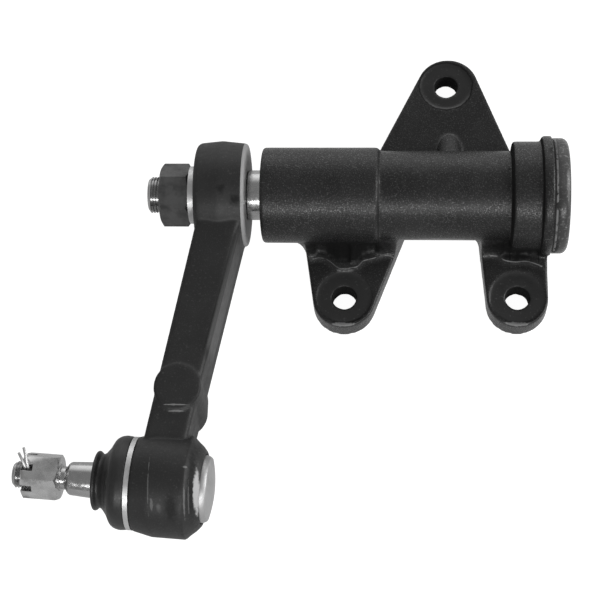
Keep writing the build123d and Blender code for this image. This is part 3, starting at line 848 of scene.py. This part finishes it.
@dataclass
class ToeLine:
    """The parting line at a web's foot, a bead whose pale colour is a painted highlight of its lit
    edge, swept by Geometry Nodes along its wavy course.
    """

    name: str
    course: Outline
    height: float = 14.2
    radius: float = 0.42
    unevenness: float = 1.2
    steps: int = 8

    def points(self) -> list[Vector]:
        """The course as a smooth row of points in millimetres."""
        knots = [Vector((x, y, self.height)) for x, y in self.course]
        result = []
        for before, start, stop, after in zip(knots, knots[1:], knots[2:], knots[3:]):
            for i in range(self.steps):
                t = i / self.steps
                straight = start * 2 + (stop - before) * t
                bend = (before * 2 - start * 5 + stop * 4 - after) * t**2
                curl = (start * 3 - before - stop * 3 + after) * t**3
                result.append((straight + bend + curl) / 2)
        return result + [knots[-2]]

    def build_tree(self, material: Material) -> bpy.types.NodeTree:
        """Builds the node tree: the course, swept with a round that thins and swells."""
        nodes, given = start_sweep(self.name, ("Radius", "Unevenness"))
        course = nodes.add("GeometryNodeMeshToCurve", {"Mesh": given["Geometry"]})
        place = nodes.add("GeometryNodeInputPosition").outputs[0]
        lumps = nodes.math("SUBTRACT", nodes.noise(place, LINE_LUMPS, 2.0, 0.6), 0.5)
        swell = nodes.math("MULTIPLY", lumps, given["Unevenness"])
        sockets = {"Resolution": 10, "Radius": given["Radius"]}
        profile = nodes.add("GeometryNodeCurvePrimitiveCircle", sockets)
        sockets = {
            "Curve": course.outputs["Curve"],
            "Profile Curve": profile.outputs["Curve"],
            "Scale": nodes.math("ADD", swell, 1.0),
        }
        return end_sweep(nodes, sockets, material)

    def build(self, body: str, material: Material) -> Object:
        """Sweeps the line.

        Args:
            body: The body that it belongs to.
            material: Its finish.

        Returns:
            The line's piece.
        """
        points = [point * MM for point in self.points()]
        mesh = bpy.data.meshes.new("work")
        mesh.from_pydata(points, [(i, i + 1) for i in range(len(points) - 1)], [])
        sizes = {"Radius": self.radius * MM, "Unevenness": self.unevenness}
        work = swept_mesh(mesh, self.build_tree(material), sizes)
        piece = keep_mesh(work, self.name, material, LINE_SHARP)
        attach(piece, body)
        note(piece, body)
        return piece


LEFT_TOE: Outline = [
    (-83.4, -29.8), (-74.4, -29.3), (-70.0, -28.8), (-65.7, -30.1),
    (-60.0, -34.6), (-55.3, -34.9), (-49.8, -33.9), (-46.2, -30.4),
    (-40.9, -28.9), (-34.8, -26.9), (-29.4, -28.2), (-25.4, -30.0),
]
RIGHT_TOE: Outline = [
    (13.4, -28.6), (18.9, -27.4), (22.1, -26.8), (27.2, -27.4),
    (30.8, -29.6), (35.9, -30.6), (42.5, -30.2), (47.8, -31.8),
    (51.0, -33.2), (55.4, -34.6),
]
BOOT_OUTLINE: Outline = [
    (17.7, 21.0), (20.2, 20.8), (22.8, 20.9), (25.6, 18.4),
    (30.4, 12.2), (33.2, 11.8), (36.2, 11.9), (36.6, 13.5),
    (36.4, 15.3), (35.1, 15.5), (33.4, 13.7), (31.6, 14.6),
    (28.8, 18.0), (26.4, 22.4), (24.4, 23.8), (21.8, 24.4),
    (19.6, 24.2), (17.8, 23.9),
]


@dataclass
class Bracket:
    """The cast bracket with its cap, gasket and inner bearings."""

    body: str = "bracket"

    def build(self, frame: dict, finishes: Finishes) -> None:
        """Dresses the bracket's pieces."""
        pieces = (
            CastPiece("bracket_casting", "housing", self.body, "cast_paint"),
            Piece("end_cover", "end_cap", self.body, "cap_paint"),
            Piece("cover_gasket", "cap_gasket", self.body, "gasket"),
            Piece("shaft_seal", "dust_seal", self.body, "rubber"),
            Piece("bush_front", "front_bush", self.body, "bronze"),
            Piece("bush_rear", "rear_bush", self.body, "bronze"),
            Piece("step_washer", "inner_thrust_washer", self.body, "bronze"),
        )
        for piece in pieces:
            piece.dress(frame, finishes)
        # The toe lines' pale colour is a painted highlight of the lit edge at each web's foot
        ToeLine("left_toe_line", LEFT_TOE).build(self.body, finishes["toe_highlight_paint"])
        ToeLine("right_toe_line", RIGHT_TOE).build(self.body, finishes["toe_highlight_paint"])


@dataclass
class PivotShaft:
    """The pivot shaft with its thread, nuts, washers and pin."""

    body: str = "arm"
    end: float = -163.7
    nut_outer: float = -156.5
    boss_left: float = -136.6
    boss_right: float = -109.2
    step: float = 2.3
    tail_start: float = 40.7
    tail_end: float = 57.3
    thread_radius: float = 10.0
    taper_small: float = 10.7
    taper_large: float = 12.7
    front_journal: float = 13.6
    rear_journal: float = 12.0
    tail_radius: float = 10.0
    pitch: float = 1.5
    point: Pair = (1.0, 0.9)
    core_past_nut: float = 2.0
    stem_depth: float = 1.2
    journal_rise: float = 0.3
    thread_inset: float = 0.4
    round_radius: float = 0.5

    def build(self, frame: dict, finishes: Finishes) -> None:
        """Turns the shaft, winds its thread and dresses its fasteners."""
        root = self.thread_radius - self.pitch / 2
        point_length, point_drop = self.point
        core_end = self.nut_outer + self.core_past_nut
        stem_end = self.boss_left + self.stem_depth
        outline = [
            (self.end, 0.0),
            (self.end, root - point_drop),
            (self.end + point_length, root),
            (core_end, root),
            (core_end, self.thread_radius),
            (stem_end, self.thread_radius),
            (stem_end, self.taper_small),
            (self.boss_right, self.taper_large),
            (self.boss_right + self.journal_rise, self.front_journal),
            (self.step, self.front_journal),
            (self.step, self.rear_journal),
            (self.tail_start, self.rear_journal),
            (self.tail_start, self.tail_radius),
            (self.tail_end, self.tail_radius),
            (self.tail_end, 0.0),
        ]
        steel = finishes["shaft_steel"]
        shaft = turned_piece("shaft", rounded(outline, self.round_radius), pivot_place(), steel)
        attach(shaft, self.body)
        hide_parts("pivot_shaft")
        start = self.end + self.thread_inset
        length = self.nut_outer + self.pitch - self.end
        thread = Thread("shaft_thread", start, length, self.thread_radius, self.pitch)
        thread.build(pivot_place(), self.body, steel)
        pieces = (
            Piece("boss_nut", "arm_nut", self.body, "dark_steel", NUT_SHARP),
            Piece("lock_washer", "spring_washer", self.body, "bright_steel"),
            Piece("tail_washer", "outer_thrust_washer", self.body, "bright_steel"),
            Piece("tail_nut", "shaft_nut", self.body, "dark_steel"),
            Piece("tail_pin", "shaft_split_pin", self.body, "bright_steel"),
        )
        for piece in pieces:
            piece.dress(frame, finishes)


@dataclass
class Arm:
    """The forged arm with the parts inside and on its socket."""

    body: str = "arm"
    neck: str = "boot_neck"
    boot_rounding: float = 0.9
    bend: Pair = (21.0, 34.0)

    def build(self, frame: dict, finishes: Finishes) -> None:
        """Dresses the forging, the socket's pieces and the boot."""
        pieces = (
            CastPiece(
                "arm_forging", "idler_arm", self.body, "forged_scale", voxel=0.8, smoothing=3
            ),
            Piece("socket_lid", "socket_cap", self.body, "plated_steel"),
            Piece("boot_band", "boot_ring", self.body, "bright_steel"),
            Piece("seat_upper", "ball_seat", self.body, "resin"),
            Piece("seat_lower", "pressure_seat", self.body, "resin"),
            Piece("seat_spring", "preload_spring", self.body, "bright_steel"),
        )
        for piece in pieces:
            piece.dress(frame, finishes)
        self.build_boot(finishes)

    def build_boot(self, finishes: Finishes) -> None:
        """Turns the rubber boot between the socket and the stud's neck."""
        outline = BOOT_OUTLINE + BOOT_OUTLINE[:2]
        ring = rounded(outline, self.boot_rounding)[1:-1]
        place = stud_place()
        boot = turned_piece("rubber_boot", ring, place, finishes["rubber"], closed=True)
        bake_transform(boot)
        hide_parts("dust_boot")
        note(boot, self.body)


@dataclass
class BallStud:
    """The tapered stud with its slotted nut and split pin."""

    body: str = "stud"
    neck: str = "boot_neck"
    ball_radius: float = 14.5
    ball_steps: int = 48
    ball_points: int = 39
    neck_radius: float = 8.5
    neck_span: Pair = (13.0, 28.6)
    taper_start: Pair = (31.0, 9.8)
    taper_end: Pair = (49.4, 8.65)
    taper_edge: Pair = (50.6, 7.9)
    groove_radius: float = 6.0
    groove_span: Pair = (51.8, 54.4)
    stem_start: float = 54.6
    nut_end: float = 74.0
    end: float = 79.9
    thread_radius: float = 7.0
    pitch: float = 1.5
    point: Pair = (1.0, 0.9)
    core_under_nut: float = 5.0
    thread_under_nut: float = 5.2
    thread_reach: float = 4.8
    round_radius: float = 0.4

    def build(self, frame: dict, finishes: Finishes) -> None:
        """Turns the stud, winds its thread and dresses the nut and the pin."""
        root = self.thread_radius - self.pitch / 2
        point_length, point_drop = self.point
        core_start = self.nut_end - self.core_under_nut
        angles = [math.pi * i / self.ball_steps for i in range(self.ball_points)]
        ball = [(-self.ball_radius * math.cos(t), self.ball_radius * math.sin(t)) for t in angles]
        outline = [
            *ball,
            *((along, self.neck_radius) for along in self.neck_span),
            self.taper_start,
            self.taper_end,
            self.taper_edge,
            *((along, self.groove_radius) for along in self.groove_span),
            (self.stem_start, self.thread_radius),
            (core_start, self.thread_radius),
            (core_start, root),
            (self.end - point_length, root),
            (self.end, root - point_drop),
            (self.end, 0.0),
        ]
        steel = finishes["stud_steel"]
        stud = turned_piece("stud", rounded(outline, self.round_radius), stud_place(), steel)
        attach(stud, self.body)
        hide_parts("ball_stud")
        start = self.nut_end - self.thread_under_nut
        length = self.end + self.thread_reach - self.nut_end
        thread = Thread("stud_thread", start, length, self.thread_radius, self.pitch)
        thread.build(stud_place(), self.body, steel)
        pieces = (
            Piece("slotted_nut", "castle_nut", self.body, "nut_steel", NUT_SHARP),
            Piece("split_pin", "cotter_pin", self.body, "bright_steel", PIN_SHARP),
            Piece("neck_ring", "boot_neck_ring", self.neck, "bright_steel"),
        )
        for piece in pieces:
            piece.dress(frame, finishes)


@dataclass(frozen=True)
class Lamp:
    """A soft rectangular lamp, in metres and watts."""

    name: str
    place: Triple
    size: Pair
    power: float

    def build(self, aim: Triple) -> None:
        """Adds the lamp and turns it towards a point."""
        data = bpy.data.lights.new(self.name, "AREA")
        data.shape = "RECTANGLE"
        data.size, data.size_y = self.size
        data.energy = self.power
        lamp = add_object(self.name, data)
        turn = (Vector(aim) - Vector(self.place)).to_track_quat("-Z", "Y")
        lamp.matrix_world = Matrix.Translation(self.place) @ turn.to_matrix().to_4x4()


@dataclass
class Studio:
    """The camera, the lamps and the pale floor."""

    camera_at: Triple = (-0.0196, -0.3703, 0.8241)
    forward: Triple = (-0.0697, 0.3631, -0.9291)
    roll: float = math.radians(0.4)
    lens: float = 96.0
    sensor: float = 36.0
    nearest: float = 0.05
    floor_z: float = -0.0003
    floor_reach: float = 3.0
    floor_grey: Grey = 0.3
    floor_glow: float = 0.96
    floor_mirrored: float = 0.35
    overhead: tuple[float, float, float, float] = (0.05, 0.85, 0.34, 0.32)
    behind: Pair = (0.55, 0.98)
    back_light: float = 1.1
    aim: Triple = (-0.06, -0.04, 0.02)
    lamps: tuple[Lamp, ...] = (
        Lamp("key_lamp", (0.1, -1.1, 0.74), (1.5, 0.2), 9.5),
        Lamp("side_lamp", (1.1, 0.1, 0.45), (0.9, 0.9), 11.0),
    )

    def build(self) -> None:
        """Builds everything that isn't the object."""
        self.build_camera()
        self.build_floor()
        self.build_world()
        for lamp in self.lamps:
            lamp.build(self.aim)
        bpy.context.scene.view_settings.view_transform = "Standard"

    def build_camera(self) -> None:
        """Places the camera as the photograph's was."""
        ahead = Vector(self.forward).normalized()
        right = (Vector((1, 0, 0)) - ahead * ahead.x).normalized()
        up = right.cross(ahead)
        tilted_right = right * math.cos(self.roll) + up * math.sin(self.roll)
        tilted_up = up * math.cos(self.roll) - right * math.sin(self.roll)
        turn = Matrix((tilted_right, tilted_up, -ahead)).transposed().to_4x4()
        data = bpy.data.cameras.new("camera")
        data.lens = self.lens
        data.sensor_width = self.sensor
        data.clip_start = self.nearest
        camera = add_object("camera", data)
        camera.matrix_world = Matrix.Translation(self.camera_at) @ turn
        bpy.context.scene.camera = camera

    def build_floor(self) -> None:
        """A pale floor that reads white to the camera and keeps a soft shadow."""
        shape = bmesh.new()
        bmesh.ops.create_grid(shape, x_segments=1, y_segments=1, size=self.floor_reach)
        mesh = take_mesh(shape, "floor")
        mesh.transform(Matrix.Translation((0, 0, self.floor_z)))
        material = bpy.data.materials.new("floor")
        material.use_nodes = True
        shader = Shader(material.node_tree)
        shader.tree.nodes.clear()
        path = shader.add("ShaderNodeLightPath").outputs
        shown = shader.math("MULTIPLY", path["Is Glossy Ray"], self.floor_mirrored)
        seen = shader.math("ADD", path["Is Camera Ray"], shown)
        seen = shader.math("MINIMUM", shader.math("ADD", seen, path["Is Transmission Ray"]), 1.0)
        strength = shader.math("MULTIPLY", seen, self.floor_glow)
        glow = shader.add("ShaderNodeEmission", {"Strength": strength})
        matte = shader.add("ShaderNodeBsdfDiffuse", {"Color": grey(self.floor_grey)})
        both = shader.add("ShaderNodeAddShader", {0: glow.outputs[0], 1: matte.outputs[0]})
        shader.add("ShaderNodeOutputMaterial", {"Surface": both.outputs[0]})
        mesh.materials.append(material)
        floor = add_object("floor", mesh)

    def build_world(self) -> None:
        """A white surround, brightest behind the object and slightly dimmer overhead."""
        world = bpy.data.worlds.new("surround")
        world.use_nodes = True
        shader = Shader(world.node_tree)
        parts = shader.split(shader.add("ShaderNodeTexCoord").outputs["Generated"])
        even = shader.ramp(parts["Z"], *self.overhead)
        behind = shader.math("MULTIPLY", shader.ramp(parts["Y"], *self.behind), self.back_light)
        sockets = {"Color": grey(1.0), "Strength": shader.math("ADD", even, behind)}
        shader.fill(world.node_tree.nodes["Background"], sockets)
        bpy.context.scene.world = world


def build_finishes() -> Finishes:
    """Builds every finish once.

    Returns:
        The materials by name.
    """
    effects = Effects()
    finishes = [
        Skin(
            "cast_paint",
            # Painted shade: the recesses under the tube, the step, collar and rim grooves, the bolt
            # holes and a ring round the upper spot face
            oil_and_painted_shade=(
                SkinPatch((-55.0, -28.5, 22.0), (34.0, 9.0, 10.0)),
                SkinPatch((37.0, -28.5, 22.0), (25.0, 9.0, 10.0)),
                SkinPatch((STEP_X, 0.0, 42.0), (0.7, 56.0, 56.0), 0.6),
                SkinPatch((COLLAR_X, 0.0, 42.0), (1.1, 56.0, 56.0)),
                SkinPatch((RIM_X, 0.0, 42.0), (0.8, 56.0, 56.0)),
                *(
                    SkinPatch((x, y, 6.0), (7.6, 7.6, 30.0), ragged=0.1, softness=0.14)
                    for x, y in BOLT_HOLES
                ),
                SkinPatch(
                    (*BOLT_HOLES[0], 12.8),
                    (16.2, 16.2, 6.0),
                    0.8,
                    ragged=0.15,
                    softness=0.05,
                    inner=0.93,
                ),
            ),
            # Lighter patches along the tube's lower flank and the ears' front rims
            wear_and_painted_highlights=(
                SkinPatch((-4.5, -23.6, 28.5), (19.0, 1.6, 2.2), 0.8, ragged=0.9),
                SkinPatch((-57.0, -67.5, 13.2), (8.0, 1.6, 1.2), 0.8, ragged=1.4),
                SkinPatch((36.5, -66.4, 13.2), (8.0, 1.6, 1.2), 0.8, ragged=1.4),
            ),
            faces=(
                SkinPatch((0.0, 0.0, 7.0), (300.0, 300.0, 9.0), 0.25, ragged=0.1, softness=0.2),
                *(
                    SkinPatch((x, y, 12.5), (15.4, 15.4, 3.0), ragged=0.0, softness=0.04)
                    for x, y in BOLT_HOLES
                ),
            ),
        ),
        Skin(
            "forged_scale",
            dark=0.01,
            pale=0.015,
            speck=0.04,
            grains=1300.0,
            depth=0.00006,
            bump=0.35,
            gloss_low=0.48,
            gloss_high=0.6,
            shine_low=0.2,
            shine_high=0.36,
            under_shine=0.25,
            coat_roughness=0.52,
            edge=0.01,
            dull_edge=0.9,
            # A painted highlight along the boss's right rim
            worn_and_lit_rim=(-110.7, -108.5),
            rim=0.3,
            rim_breaks=0.0,
            # Oil smudges on the boss; painted shade on the socket and along the beam's edge
            oil_and_painted_shade=(
                SkinPatch((-120.8, -9.0, 61.0), (3.6, 4.2, 5.0), 0.55, ragged=1.2, softness=0.9),
                SkinPatch((-113.6, -14.0, 58.0), (4.6, 4.6, 5.0), 0.6, ragged=1.2, softness=0.9),
                SkinPatch((-139.0, -178.0, 46.0), (5.0, 12.0, 12.0), 0.5, ragged=0.6, softness=0.8),
                SkinPatch((-129.5, -165.0, 44.0), (3.4, 22.0, 18.0), 0.6, ragged=0.6, softness=0.7),
                EdgeBand((-110.8, -23.0), (-127.4, -101.5), 42.0, width=2.2, strength=0.5),
            ),
            # Painted highlights: lit streaks and patches on the socket, its lit end rim, the beam's
            # side and the lug's lower rim
            wear_and_painted_highlights=(
                SkinPatch((-148.8, -177.0, 47.8), (0.9, 4.2, 4.0), 0.4, ragged=1.2),
                SkinPatch((-145.2, -178.6, 47.0), (1.7, 3.2, 4.0), 0.28, ragged=1.0, softness=0.8),
                SkinPatch((-150.6, -168.0, 50.0), (0.4, 15.0, 12.0), 0.35, ragged=1.8),
                SkinPatch((-132.4, -175.0, 46.0), (0.5, 11.0, 12.0), 0.45, ragged=1.8),
                SkinPatch((-130.4, -174.0, 46.0), (0.4, 9.0, 12.0), 0.3, ragged=1.8),
                SkinPatch((-132.2, -159.0, 53.0), (1.6, 0.8, 2.0), 0.6),
                EdgeBand((-108.2, -22.0), (-124.4, -98.0), 24.0, width=3.6, strength=0.26),
                SkinPatch((-126.9, -169.0, 43.0), (1.9, 13.0, 14.0), 0.95, ragged=0.9, colour=0.42),
                SkinPatch((-140.0, -124.3, 46.2), (7.5, 0.5, 3.0), 0.8, ragged=1.0),
                SkinPatch((-140.0, -127.3, 45.5), (6.0, 0.5, 3.0), 0.6, ragged=1.0),
            ),
        ),
        # Pale paint for the toe lines: a painted highlight of their lit edge
        Skin("toe_highlight_paint", dark=0.08, pale=0.22, speck=0.35, grains=1500.0, depth=0.0001, bump=0.5),
        Skin(
            "cap_paint",
            dark=0.045,
            pale=0.07,
            speck=0.2,
            grains=700.0,
            depth=0.00003,
            bump=0.25,
            edge=0.25,
            worn_and_lit_rim=(55.4, 56.3),
        ),
        Steel("shaft_steel", colour=0.5, stain=0.4, roughness=0.22, rings=5000.0, ring_bump=0.015),
        Steel(
            "stud_steel",
            colour=0.46,
            stain=0.4,
            roughness=0.2,
            rings=6000.0,
            ring_bump=0.01,
            axis=Axis.STUD,
        ),
        Steel("bright_steel", colour=0.66, stain=0.58, roughness=0.46, uneven=0.06),
        Steel("plated_steel", colour=0.5, stain=0.42, roughness=0.5, uneven=0.04, ring_bump=0.05),
        Steel("nut_steel", colour=0.64, stain=0.46, roughness=0.28, uneven=0.06),
        Steel("dark_steel", colour=0.115, stain=0.06, metallic=0.6, roughness=0.42),
        Steel("bronze", colour=0.5, stain=0.4, roughness=0.4),
        Rubber("rubber", colour=0.007, bloom=0.02),
        Rubber("gasket", colour=0.02, bloom=0.03, roughness=0.8),
        Rubber("resin", colour=0.6, bloom=0.7, roughness=0.5),
    ]
    return {finish.name: finish.material(effects) for finish in finishes}


def main() -> None:
    """Builds the idler arm's looks around its frame."""
    logging.basicConfig(level=logging.INFO, format="%(message)s")
    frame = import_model()
    finishes = build_finishes()
    for assembly in (Bracket(), PivotShaft(), Arm(), BallStud()):
        assembly.build(frame, finishes)
    Studio().build()


if __name__ == "__main__":
    main()
